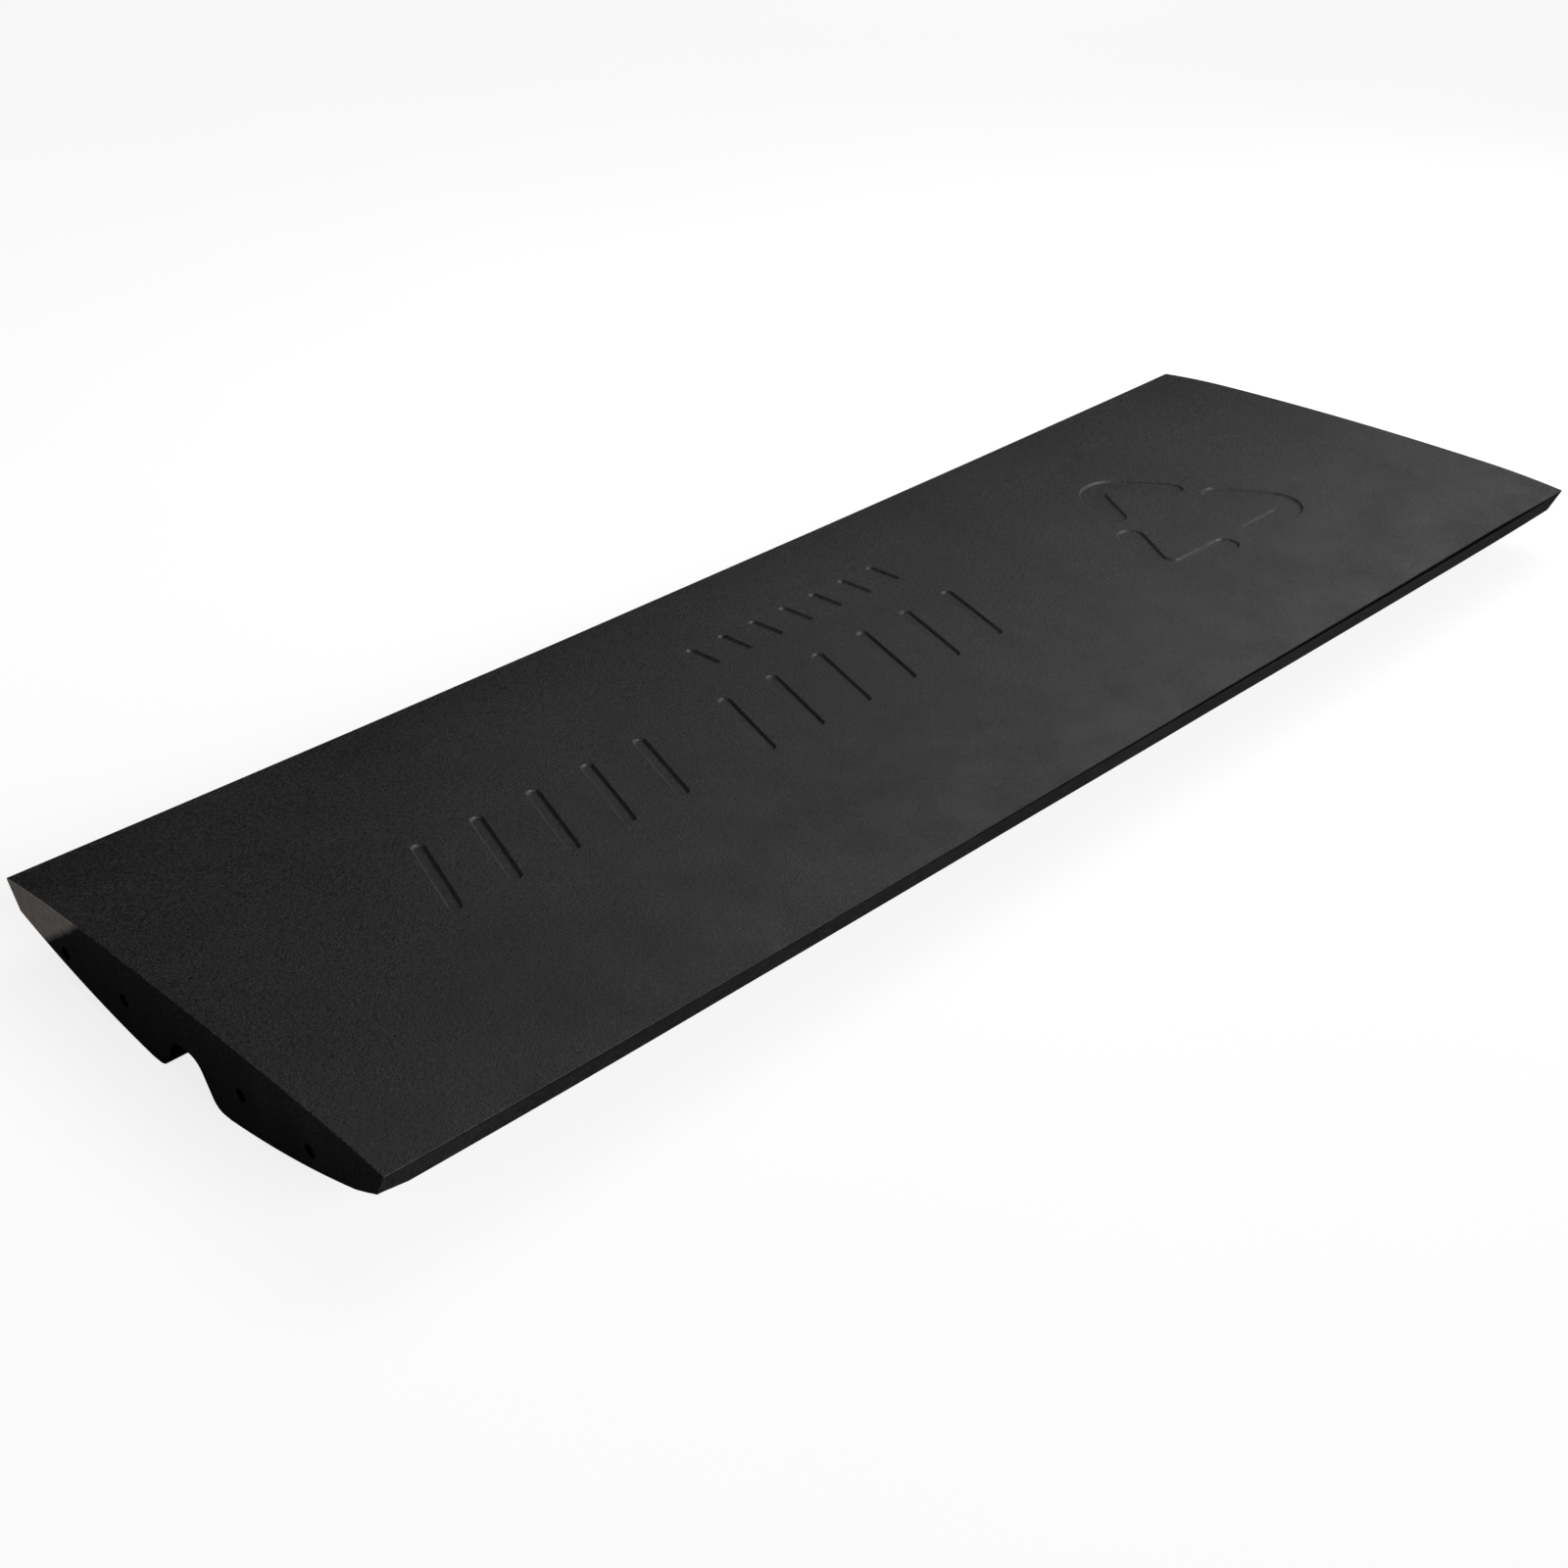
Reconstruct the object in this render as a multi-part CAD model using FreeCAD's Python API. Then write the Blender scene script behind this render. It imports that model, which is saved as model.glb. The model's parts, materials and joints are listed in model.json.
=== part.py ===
import FreeCAD, Part

import math
import os

from FreeCAD import Vector

# One section of a curb ramp: a slab of moulded rubber that lies in the gutter and carries wheels over the kerb.
# Its top is crowned and has shallow recessed tread bars. Underneath, two feet stand either side of a drain channel.
# Each end face has four sleeved sockets. Four steel link pins are stored in the sockets of the -X end, and slide
# half-way out of them into the +X sockets of the next section.
#
# Frame: +X along the slab, +Y across it towards the kerb, +Z up. The origin is under the middle of the slab, on the
# plane that the feet stand on. Millimetres.

# Slab
LENGTH = 1200.0
WIDTH = 414.0
HEIGHT = 63.0

# Crowned top: a nearly flat arc, and a tighter shoulder arc along each long edge
CROWN_RADIUS = 4300.0
SHOULDER_RADIUS = 850.0
SHOULDER_WIDTH = 70.0

# Long edges: an upright lip, then a strip that leans inwards to the bulging underside
LIP_HEIGHT = 2.5
STRIP_INSET = 10.0
STRIP_DROP = 21.0
UNDERSIDE_RADIUS = 735.0

# Feet and the drain channel between them, at the height of the ground
FEET_WIDTH = 88.0
CHANNEL_WIDTH = 57.0
CHANNEL_DEPTH = 28.5
CHANNEL_WALL_DEG = 63.0
CHANNEL_ROOF_ROUND = 14.0
FOOT_ROUND = 6.0

# Sockets: a hole in the rubber, and a sleeve moulded into it a little below the end face
SOCKET_Y = {"front_outer": -132.0, "front_inner": -62.0, "back_inner": 69.0, "back_outer": 140.0}
SOCKET_Z = 29.0
SLEEVE_OUTER_RADIUS = 3.8
SLEEVE_INNER_RADIUS = 3.1
SLEEVE_LENGTH = 110.0
SLEEVE_RECESS = 1.5

# Link pins, stored in the -X sockets
PIN_RADIUS = 3.0
PIN_LENGTH = 100.0
PIN_RECESS = 4.0
PIN_CHAMFER = 0.8

# Recessed marks on top: two groups of slanted bars, a row of short bars behind them, and a triangle of three bent
# bars, one round each corner
MARK_DEPTH = 2.0
BAR_HEIGHT = 82.0
BAR_LEAN = 24.0
BAR_WIDTH = 10.5
BAR_PITCH = 47.0
GROUP_STARTS = {-430.0: 5, -162.0: 6}
DASH_LENGTH = 35.0
DASH_WIDTH = 8.0
DASH_PITCH = 32.0
DASH_COUNT = 7
DASH_START_X = -96.0
DASH_Y = 99.0
TRIANGLE_CENTRE = (337.0, -14.0)
TRIANGLE_BEND_CENTRES = 72.0
TRIANGLE_BEND_RADIUS = 19.0
TRIANGLE_LEG = 43.0
TRIANGLE_BAR_WIDTH = 24.0

HALF_WIDTH = WIDTH / 2
CROWN_EDGE = HALF_WIDTH - SHOULDER_WIDTH


def crown_height(y):
    """Height of the top at a distance y from the middle of the slab."""
    out = abs(y)
    if out <= CROWN_EDGE:
        return HEIGHT - CROWN_RADIUS + math.sqrt(CROWN_RADIUS**2 - out**2)
    turn = math.asin(CROWN_EDGE / CROWN_RADIUS)
    centre_y = CROWN_EDGE - SHOULDER_RADIUS * math.sin(turn)
    centre_z = crown_height(CROWN_EDGE) - SHOULDER_RADIUS * math.cos(turn)
    return centre_z + math.sqrt(SHOULDER_RADIUS**2 - (out - centre_y) ** 2)


EDGE_Z = crown_height(HALF_WIDTH)
STRIP_FOOT = (HALF_WIDTH - STRIP_INSET, EDGE_Z - STRIP_DROP)


def section_point(y, z):
    return Vector(-LENGTH / 2, y, z)


def line(a, b):
    return Part.LineSegment(a, b).toShape()


def arc(a, middle, b):
    return Part.Arc(a, middle, b).toShape()


def crown_edges(drop):
    """The three arcs of the top, from the front edge to the back edge, lowered by drop."""
    stops = (-HALF_WIDTH, -CROWN_EDGE, CROWN_EDGE, HALF_WIDTH)
    edges = []
    for start, end in zip(stops, stops[1:]):
        points = [section_point(y, crown_height(y) - drop) for y in (start, (start + end) / 2, end)]
        edges.append(arc(*points))
    return edges


def underside_arc(side):
    """The bulging underside of one half, from the foot of its strip to the outside of its foot."""
    top = section_point(side * STRIP_FOOT[0], STRIP_FOOT[1])
    foot = section_point(side * FEET_WIDTH / 2, 0)
    chord = foot - top
    bulge = UNDERSIDE_RADIUS - math.sqrt(UNDERSIDE_RADIUS**2 - (chord.Length / 2) ** 2)
    outward = Vector(0, -chord.z * side, chord.y * side).normalize()
    if outward.z > 0:
        outward = -outward
    return arc(top, (top + foot) / 2 + outward * bulge, foot)


def prism(edges, length):
    """A solid from a closed section at the -X end, carried along the slab."""
    face = Part.Face(Part.Wire(Part.__sortEdges__(edges)))
    return face.extrude(Vector(length, 0, 0))


def lengthways_edges(shape, y, z):
    """The edges that run along the slab at (y, z) in the section."""
    found = []
    for edge in shape.Edges:
        ends = [vertex.Point for vertex in edge.Vertexes]
        if len(ends) == 2 and all(math.hypot(p.y - y, p.z - z) < 0.01 for p in ends):
            found.append(edge)
    return found


def slab():
    edges = crown_edges(0)
    for side in (-1, 1):
        lip_top = section_point(side * HALF_WIDTH, EDGE_Z)
        lip_foot = section_point(side * HALF_WIDTH, EDGE_Z - LIP_HEIGHT)
        strip_foot = section_point(side * STRIP_FOOT[0], STRIP_FOOT[1])
        edges.append(line(lip_top, lip_foot))
        edges.append(line(lip_foot, strip_foot))
        edges.append(underside_arc(side))
    edges.append(line(section_point(-FEET_WIDTH / 2, 0), section_point(FEET_WIDTH / 2, 0)))
    return prism(edges, LENGTH)


def channel():
    """The drain channel, which starts a little below the ground so that it opens the underside cleanly."""
    below = 2.0
    slope = 1 / math.tan(math.radians(CHANNEL_WALL_DEG))
    mouth = CHANNEL_WIDTH / 2 + below * slope
    roof = CHANNEL_WIDTH / 2 - CHANNEL_DEPTH * slope
    corners = [(-mouth, -below), (-roof, CHANNEL_DEPTH), (roof, CHANNEL_DEPTH), (mouth, -below)]
    points = [section_point(y, z) for y, z in corners]
    edges = [line(a, b) for a, b in zip(points, points[1:] + points[:1])]
    trough = prism(edges, LENGTH)
    roof_edges = []
    for y, z in corners[1:3]:
        roof_edges += lengthways_edges(trough, y, z)
    return trough.makeFillet(CHANNEL_ROOF_ROUND, roof_edges)


def upright(outline):
    """An upright prism that is taller than the slab, on a closed outline at z = 0."""
    return Part.Face(outline).extrude(Vector(0, 0, 2 * HEIGHT))


def round_bar(centre_x, centre_y, length, width, angle_deg):
    """A prism with a stadium outline, whose long axis is turned angle_deg from +X."""
    straight = (length - width) / 2
    r = width / 2
    edges = [
        line(Vector(-straight, -r, 0), Vector(straight, -r, 0)),
        arc(Vector(straight, -r, 0), Vector(straight + r, 0, 0), Vector(straight, r, 0)),
        line(Vector(straight, r, 0), Vector(-straight, r, 0)),
        arc(Vector(-straight, r, 0), Vector(-straight - r, 0, 0), Vector(-straight, -r, 0)),
    ]
    bar = upright(Part.Wire(edges))
    bar.rotate(Vector(0, 0, 0), Vector(0, 0, 1), angle_deg)
    bar.translate(Vector(centre_x, centre_y, 0))
    return bar


def slanted_bars():
    angle = math.degrees(math.atan2(BAR_HEIGHT - BAR_WIDTH, BAR_LEAN))
    length = math.hypot(BAR_HEIGHT - BAR_WIDTH, BAR_LEAN) + BAR_WIDTH
    bars = []
    for start, count in GROUP_STARTS.items():
        for i in range(count):
            x = start + (BAR_WIDTH + BAR_LEAN) / 2 + i * BAR_PITCH
            bars.append(round_bar(x, 0, length, BAR_WIDTH, angle))
    return bars


def dashes():
    places = [DASH_START_X + i * DASH_PITCH for i in range(DASH_COUNT)]
    return [round_bar(x, DASH_Y, DASH_LENGTH, DASH_WIDTH, 90) for x in places]


def bent_bar(corner_deg):
    """A prism whose middle line bends round one corner of the triangle, with a straight leg each side."""
    corner = math.radians(corner_deg)
    bend_x = TRIANGLE_CENTRE[0] + TRIANGLE_BEND_CENTRES * math.cos(corner)
    bend_y = TRIANGLE_CENTRE[1] + TRIANGLE_BEND_CENTRES * math.sin(corner)

    def on_bend(turn_deg):
        turn = corner + math.radians(turn_deg)
        return Vector(bend_x + TRIANGLE_BEND_RADIUS * math.cos(turn), bend_y + TRIANGLE_BEND_RADIUS * math.sin(turn), 0)

    def leg_end(side):
        along = corner + math.radians(side * 150)
        return on_bend(side * 60) + Vector(math.cos(along), math.sin(along), 0) * TRIANGLE_LEG

    first = line(leg_end(-1), on_bend(-60))
    bend = arc(on_bend(-60), on_bend(0), on_bend(60))
    second = line(on_bend(60), leg_end(1))
    return upright(Part.Wire([first, bend, second]).makeOffset2D(TRIANGLE_BAR_WIDTH / 2))


def triangle_bars():
    """Three bent bars that make a triangle pointing to +Y, with a gap in the middle of each side."""
    return [bent_bar(corner_deg) for corner_deg in (90, 210, 330)]


def marks():
    """The recesses in the top, all MARK_DEPTH below it."""
    lowered = crown_edges(MARK_DEPTH)
    ends = []
    for side in (-1, 1):
        upper = section_point(side * HALF_WIDTH, EDGE_Z)
        lower = section_point(side * HALF_WIDTH, EDGE_Z - MARK_DEPTH)
        ends.append(line(upper, lower))
    skin = prism(crown_edges(0) + lowered + ends, LENGTH)
    return [bar.common(skin) for bar in slanted_bars() + dashes() + triangle_bars()]


def rod(x, y, radius, length):
    return Part.makeCylinder(radius, length, Vector(x, y, SOCKET_Z), Vector(1, 0, 0))


def end_starts(depth, recess):
    """Where a thing of this length starts at each end, when it lies that far below the end face."""
    return {"near": -LENGTH / 2 + recess, "far": LENGTH / 2 - recess - depth}


def ramp_body():
    body = slab().cut(channel())
    mouth = []
    for side in (-1, 1):
        mouth += lengthways_edges(body, side * CHANNEL_WIDTH / 2, 0)
    body = body.makeFillet(FOOT_ROUND, mouth)
    depth = SLEEVE_RECESS + SLEEVE_LENGTH
    for start in end_starts(depth, 0).values():
        for y in SOCKET_Y.values():
            body = body.cut(rod(start, y, SLEEVE_OUTER_RADIUS, depth))
    return body.cut(Part.makeCompound(marks()))


def sleeve(x, y):
    tube = rod(x, y, SLEEVE_OUTER_RADIUS, SLEEVE_LENGTH)
    return tube.cut(rod(x, y, SLEEVE_INNER_RADIUS, SLEEVE_LENGTH))


def link_pin(y):
    pin = rod(-LENGTH / 2 + PIN_RECESS, y, PIN_RADIUS, PIN_LENGTH)
    rims = [edge for edge in pin.Edges if edge.Closed and edge.Curve.TypeId == "Part::GeomCircle"]
    return pin.makeChamfer(PIN_CHAMFER, rims)


def sub_parts():
    parts = {"ramp_body": ramp_body()}
    for place, y in SOCKET_Y.items():
        for end, x in end_starts(SLEEVE_LENGTH, SLEEVE_RECESS).items():
            parts[f"{end}_sleeve_{place}"] = sleeve(x, y)
        parts[f"link_pin_{place}"] = link_pin(y)
    return parts


os.makedirs("parts", exist_ok=True)
for name, shape in sub_parts().items():
    if not shape.isValid() or len(shape.Solids) != 1:
        raise ValueError(f"{name} isn't one valid solid")
    shape.Solids[0].exportStep(f"parts/{name}.step")
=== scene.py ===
import json
import math

import bmesh
import bpy
from mathutils import Matrix, Vector, noise
from mathutils.geometry import delaunay_2d_cdt


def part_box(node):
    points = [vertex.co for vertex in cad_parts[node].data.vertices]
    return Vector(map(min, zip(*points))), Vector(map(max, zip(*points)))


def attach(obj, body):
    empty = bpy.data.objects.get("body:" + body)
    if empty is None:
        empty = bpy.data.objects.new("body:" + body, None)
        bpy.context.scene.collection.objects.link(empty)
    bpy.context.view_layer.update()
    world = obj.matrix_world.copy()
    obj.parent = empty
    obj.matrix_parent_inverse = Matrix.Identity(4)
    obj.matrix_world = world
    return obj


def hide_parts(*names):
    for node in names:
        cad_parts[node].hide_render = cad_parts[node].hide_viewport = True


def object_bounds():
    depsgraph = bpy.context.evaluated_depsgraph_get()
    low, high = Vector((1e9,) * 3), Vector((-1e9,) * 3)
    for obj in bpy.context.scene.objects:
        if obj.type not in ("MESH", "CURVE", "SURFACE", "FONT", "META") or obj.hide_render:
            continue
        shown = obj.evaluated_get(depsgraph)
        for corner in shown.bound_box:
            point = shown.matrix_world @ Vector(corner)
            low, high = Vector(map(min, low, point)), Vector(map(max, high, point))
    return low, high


# A moulded rubber curb ramp section on a pale studio floor. The slab is rebuilt as one closed mesh over its
# CAD solid, with rounded edges, smooth recesses and the slight unevenness of moulded rubber. The socket
# sleeves and link pins are turned meshes. Shapes are worked out in millimetres, and make_object() scales
# them to metres.

MM = 0.001

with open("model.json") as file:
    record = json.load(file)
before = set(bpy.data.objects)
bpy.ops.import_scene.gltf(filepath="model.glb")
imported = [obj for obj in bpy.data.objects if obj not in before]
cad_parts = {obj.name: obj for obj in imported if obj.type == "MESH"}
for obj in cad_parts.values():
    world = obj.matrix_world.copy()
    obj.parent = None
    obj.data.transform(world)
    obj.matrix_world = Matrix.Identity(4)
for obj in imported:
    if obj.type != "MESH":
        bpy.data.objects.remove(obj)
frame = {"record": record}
cad_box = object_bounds()


def node_box(node):
    """The lowest and highest corners of a CAD node, in millimetres."""
    low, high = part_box(node)
    return low / MM, high / MM


BODY_LOW, BODY_HIGH = node_box("ramp_body")
LENGTH = BODY_HIGH.x - BODY_LOW.x
HALF_LENGTH = LENGTH / 2
HALF_WIDTH = (BODY_HIGH.y - BODY_LOW.y) / 2
HEIGHT = BODY_HIGH.z - BODY_LOW.z
PLACES = ("front_outer", "front_inner", "back_inner", "back_outer")

# Crowned top: a nearly flat arc, and a tighter shoulder arc along each long edge
CROWN_RADIUS = 4300.0
SHOULDER_RADIUS = 850.0
CROWN_EDGE = HALF_WIDTH - 70.0

# Long edges: an upright lip, a groove under it, and a strip that leans inwards. From GROOVE_START to the far
# end the groove widens and deepens, and the front lip steps back over it. Both fade out at the ends.
LIP_HEIGHT = 0.9
LIP_ROUND = 0.6
GROOVE_START = -HALF_LENGTH / 2
GROOVE_WIDTH = (0.6, 1.2)
GROOVE_DEPTH = (0.05, 1.5)
GROOVE_FADE = 3.0
LIP_RECESS = 2.4
RECESS_FADE = 110.0
STRIP_INSET = 10.0
STRIP_DROP = 21.0
STRIP_ROUND = 0.8
UNDERSIDE_RADIUS = 735.0

# Feet and the drain channel between them
FOOT_HALF = 44.0
CHANNEL_HALF = 28.5
CHANNEL_DEPTH = 28.5
CHANNEL_WALL_DEG = 63.0
CHANNEL_ROOF_ROUND = 14.0
MOUTH_ROUND = 12.0
FOOT_ROUND = 16.0

# Rounding where the long faces meet the end faces, and at the mouth of each socket
END_ROUND = 0.6
LEAST_ROUND = 0.15
SOCKET_ROUND = 1.0
SOCKET_DEPTH = 111.5

# Recessed marks in the top, at the places of the CAD solid's pockets
MARK_DEPTH = 2.0
MARK_WALL = 2.4
BAR_HEIGHT = 82.0
BAR_LEAN = 24.0
BAR_WIDTH = 10.5
BAR_PITCH = 47.0
GROUP_STARTS = {-430.0: 5, -162.0: 6}
DASH_LENGTH = 35.0
DASH_WIDTH = 8.0
DASH_PITCH = 32.0
DASH_COUNT = 7
DASH_START_X = -96.0
DASH_Y = 99.0
TRIANGLE_CENTRE = Vector((337.0, -14.0))
TRIANGLE_BEND_CENTRES = 72.0
TRIANGLE_BEND_RADIUS = 19.0
TRIANGLE_LEG = 43.0
TRIANGLE_BAR_WIDTH = 24.0

# How the moulding departs from the ideal shape: both long edges sag between the ends, one lower corner is
# worn, and the faces are very slightly wavy. A higher power keeps more of the length at the full amount.
SAG_FRONT = 2.2
SAG_FRONT_POWER = 6
SAG_BACK = 3.2
SAG_BACK_POWER = 2
WORN_CORNER = 2.6
WORN_REACH = 22.0
WAVE_HEIGHT = 0.2
WAVE_LENGTH = 120.0
WAVE_POWER = 6
WAVE_SEED = 7

# Pins: (x, radius) of the centre-drilled end, and (x, drop from the full radius) of the chamfer
PIN_END = ((1.2, 0), (0.4, 0.6), (0.1, 1.1), (0.0, 1.4))
PIN_CHAMFER = ((0.0, 0.9), (0.06, 0.74), (0.72, 0.07), (0.95, 0.0))
PIN_COLLAR = 2.0

# Mesh density
STATION_PITCH = 20.0
FADE_STEPS = 3
CROWN_STEPS = 36
UNDERSIDE_STEPS = 14
ROUND_STEPS = 6
WALL_STEPS = 8
WALL_EDGE_STEPS = 2
MARK_PITCH = 8.0
MARK_MARGIN = 4.0
CAP_STEPS = 12
TURNED_STEPS = 48
SHARP_FACE_WEIGHT = 80

# How Blender fills a face: only inside its loops, and points this close count as one
FILL_WITHIN_LOOPS = 1
FILL_TOLERANCE = 1e-6

# Points of a finished mesh that are this close, in metres, are merged
MERGE_DISTANCE = 1e-6


# Slab section: corners (y, z, radius), counter-clockwise seen from the far end ----------------------------


def crown_height(y):
    """Height of the ideal top at a distance y from the middle."""
    out = abs(y)
    if out <= CROWN_EDGE:
        return HEIGHT - CROWN_RADIUS + math.sqrt(CROWN_RADIUS**2 - out**2)
    turn = math.asin(CROWN_EDGE / CROWN_RADIUS)
    centre_y = CROWN_EDGE - SHOULDER_RADIUS * math.sin(turn)
    centre_z = crown_height(CROWN_EDGE) - SHOULDER_RADIUS * math.cos(turn)
    return centre_z + math.sqrt(SHOULDER_RADIUS**2 - (out - centre_y) ** 2)


EDGE_Z = crown_height(HALF_WIDTH)


def smoothstep(t):
    t = min(max(t, 0.0), 1.0)
    return t * t * (3 - 2 * t)


def underside_points():
    """The bulging underside of the back half, from the foot of the strip to the outside of the foot."""
    top = Vector((HALF_WIDTH - STRIP_INSET, EDGE_Z - STRIP_DROP))
    foot = Vector((FOOT_HALF, 0.0))
    chord = foot - top
    inwards = Vector((chord.y, -chord.x)).normalized()
    centre = (top + foot) / 2 + inwards * math.sqrt(UNDERSIDE_RADIUS**2 - (chord.length / 2) ** 2)
    start = math.atan2(top.y - centre.y, top.x - centre.x)
    turn = math.atan2(foot.y - centre.y, foot.x - centre.x) - start
    angles = [start + turn * i / UNDERSIDE_STEPS for i in range(UNDERSIDE_STEPS + 1)]
    return [centre + UNDERSIDE_RADIUS * Vector((math.cos(a), math.sin(a))) for a in angles]


UNDERSIDE = underside_points()


def half_profile(groove_width, groove_depth, recess):
    """Corners of the back half, from the top of the lip down to the roof of the channel."""
    lip_y = HALF_WIDTH - recess
    lip_z = crown_height(lip_y)
    lip_foot = Vector((lip_y, lip_z - LIP_HEIGHT))
    strip_top = Vector((HALF_WIDTH, EDGE_Z - LIP_HEIGHT))
    strip_foot = UNDERSIDE[0]
    down = (strip_foot - strip_top).normalized()
    inwards = Vector((down.y, -down.x))
    groove_middle = lip_foot + down * groove_width / 2 + inwards * groove_depth
    groove_end = strip_top + down * groove_width
    roof = CHANNEL_HALF - CHANNEL_DEPTH / math.tan(math.radians(CHANNEL_WALL_DEG))
    corners = [
        (lip_y, lip_z, LIP_ROUND),
        (*lip_foot, 0),
        (*groove_middle, 0),
        (*groove_end, 0),
        (*strip_foot, STRIP_ROUND),
    ]
    corners += [(*point, 0) for point in UNDERSIDE[1:-1]]
    corners.append((*UNDERSIDE[-1], FOOT_ROUND))
    corners += [(CHANNEL_HALF, 0.0, MOUTH_ROUND), (roof, CHANNEL_DEPTH, CHANNEL_ROOF_ROUND)]
    return corners


def section(x):
    """Corners of the whole section at x. The groove and the front lip's recess fade out at the ends."""
    along = smoothstep((x - GROOVE_START) / (HALF_LENGTH - GROOVE_START))
    width, depth = (low + along * (high - low) for low, high in (GROOVE_WIDTH, GROOVE_DEPTH))
    inside_end = HALF_LENGTH - END_ROUND - abs(x)
    depth *= smoothstep(inside_end / GROOVE_FADE)
    recess = LIP_RECESS * along * smoothstep(inside_end / RECESS_FADE)
    back = half_profile(width, depth, 0.0)
    front = [(-y, z, r) for y, z, r in half_profile(width, depth, recess)]
    step = 2 * HALF_WIDTH / (CROWN_STEPS - 1)
    crown = [HALF_WIDTH - i * step for i in range(1, CROWN_STEPS - 1)]
    return [back[0]] + [(y, crown_height(y), 0) for y in crown] + front + back[:0:-1]


def rounded_corner(point, before, after, radius):
    """Points on the arc that rounds a corner. before and after are unit directions in and out of it."""
    turn = math.acos(max(-1.0, min(1.0, before.dot(after))))
    side = 1 if before.cross(after) > 0 else -1
    normal = Vector((-before.y, before.x)) * side
    centre = point - before * radius * math.tan(turn / 2) + normal * radius
    angles = [side * turn * i / ROUND_STEPS for i in range(ROUND_STEPS + 1)]
    return [centre + Matrix.Rotation(a, 2) @ (-normal * radius) for a in angles]


def outline(x, inset):
    """The section at x as a loop of points, drawn in by inset. Every loop has the same number of points."""
    corners = section(x)
    points = [Vector(c[:2]) for c in corners]
    count = len(points)
    ways = [(points[(i + 1) % count] - points[i]).normalized() for i in range(count)]
    loop = []
    for i, (_, _, radius) in enumerate(corners):
        before, after = ways[i - 1], ways[i]
        inward = Vector((-before.y - after.y, before.x + after.x))
        point = points[i] + inward * inset / (1 + before.dot(after))
        if not radius:
            loop.append(point)
            continue
        convex = before.cross(after) > 0
        drawn_in = max(radius - inset, LEAST_ROUND) if convex else radius + inset
        loop += rounded_corner(point, before, after, drawn_in)
    return loop


# Where the top starts and ends in an outline, and which of its sides are the lips, the grooves, the strips
# and the channel. The numbers added are the sides and corners passed on the way round.
TOP_FIRST = ROUND_STEPS
TOP_LAST = ROUND_STEPS + CROWN_STEPS - 1
LIP_LAST = TOP_LAST + ROUND_STEPS
OUTLINE_POINTS = len(outline(0, 0))
GROOVE_SIDES = (LIP_LAST + 1, LIP_LAST + 2, OUTLINE_POINTS - 3, OUTLINE_POINTS - 2)
STRIP_SIDES = (
    *range(LIP_LAST + 3, LIP_LAST + 4 + ROUND_STEPS),
    *range(OUTLINE_POINTS - 4 - ROUND_STEPS, OUTLINE_POINTS - 3),
)
FOOT_LAST = LIP_LAST + 4 + 2 * ROUND_STEPS + UNDERSIDE_STEPS
CHANNEL_SIDES = range(FOOT_LAST + 1, FOOT_LAST + 4 * (ROUND_STEPS + 1))


# Marks: each is a middle line and a half width ------------------------------------------------------------


def straight_line(start, end):
    steps = max(2, round((end - start).length / MARK_PITCH))
    return [start.lerp(end, i / steps) for i in range(steps + 1)]


def slanted_bars():
    rise = BAR_HEIGHT - BAR_WIDTH
    for start_x, count in GROUP_STARTS.items():
        for i in range(count):
            foot = Vector((start_x + BAR_WIDTH / 2 + i * BAR_PITCH, -rise / 2))
            yield straight_line(foot, foot + Vector((BAR_LEAN, rise))), BAR_WIDTH / 2


def dashes():
    reach = Vector((0, (DASH_LENGTH - DASH_WIDTH) / 2))
    for i in range(DASH_COUNT):
        middle = Vector((DASH_START_X + i * DASH_PITCH, DASH_Y))
        yield straight_line(middle - reach, middle + reach), DASH_WIDTH / 2


def bent_bars():
    """The three bars of the triangle: each bends through 120 degrees round a corner."""
    for corner_deg in (90, 210, 330):
        corner = math.radians(corner_deg)
        bend = TRIANGLE_CENTRE + TRIANGLE_BEND_CENTRES * Vector((math.cos(corner), math.sin(corner)))
        angles = [corner + math.radians(a) for a in range(-60, 61, 10)]
        arc = [bend + TRIANGLE_BEND_RADIUS * Vector((math.cos(a), math.sin(a))) for a in angles]
        legs = []
        for side, start in ((-1, arc[0]), (1, arc[-1])):
            way = corner + math.radians(side * 150)
            legs.append(straight_line(start, start + TRIANGLE_LEG * Vector((math.cos(way), math.sin(way)))))
        yield legs[0][:0:-1] + arc + legs[1][1:], TRIANGLE_BAR_WIDTH / 2


MARKS = [*slanted_bars(), *dashes(), *bent_bars()]


def band(middle_line, reach):
    """The closed outline at a distance reach from a middle line, with round ends, counter-clockwise."""
    count = len(middle_line)
    ways = []
    for i in range(count):
        ways.append((middle_line[min(i + 1, count - 1)] - middle_line[max(i - 1, 0)]).normalized())
    right = [p + Vector((w.y, -w.x)) * reach for p, w in zip(middle_line, ways)]
    left = [p - Vector((w.y, -w.x)) * reach for p, w in zip(middle_line, ways)]

    def cap(end, way):
        start = Vector((way.y, -way.x)) * reach
        turns = [math.pi * i / CAP_STEPS for i in range(1, CAP_STEPS)]
        return [end + Matrix.Rotation(-t, 2).transposed() @ start for t in turns]

    return right + cap(middle_line[-1], ways[-1]) + left[::-1] + cap(middle_line[0], -ways[0])


def distance_to(middle_line, point):
    """Distance from a point to a middle line."""
    best = math.inf
    for a, b in zip(middle_line, middle_line[1:]):
        way = b - a
        t = min(max((point - a).dot(way) / way.length_squared, 0.0), 1.0)
        best = min(best, (a + way * t - point).length)
    return best


def in_a_mark(point, margin):
    return any(distance_to(line, point) < half_width + margin for line, half_width in MARKS)


# Mesh building --------------------------------------------------------------------------------------------


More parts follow.
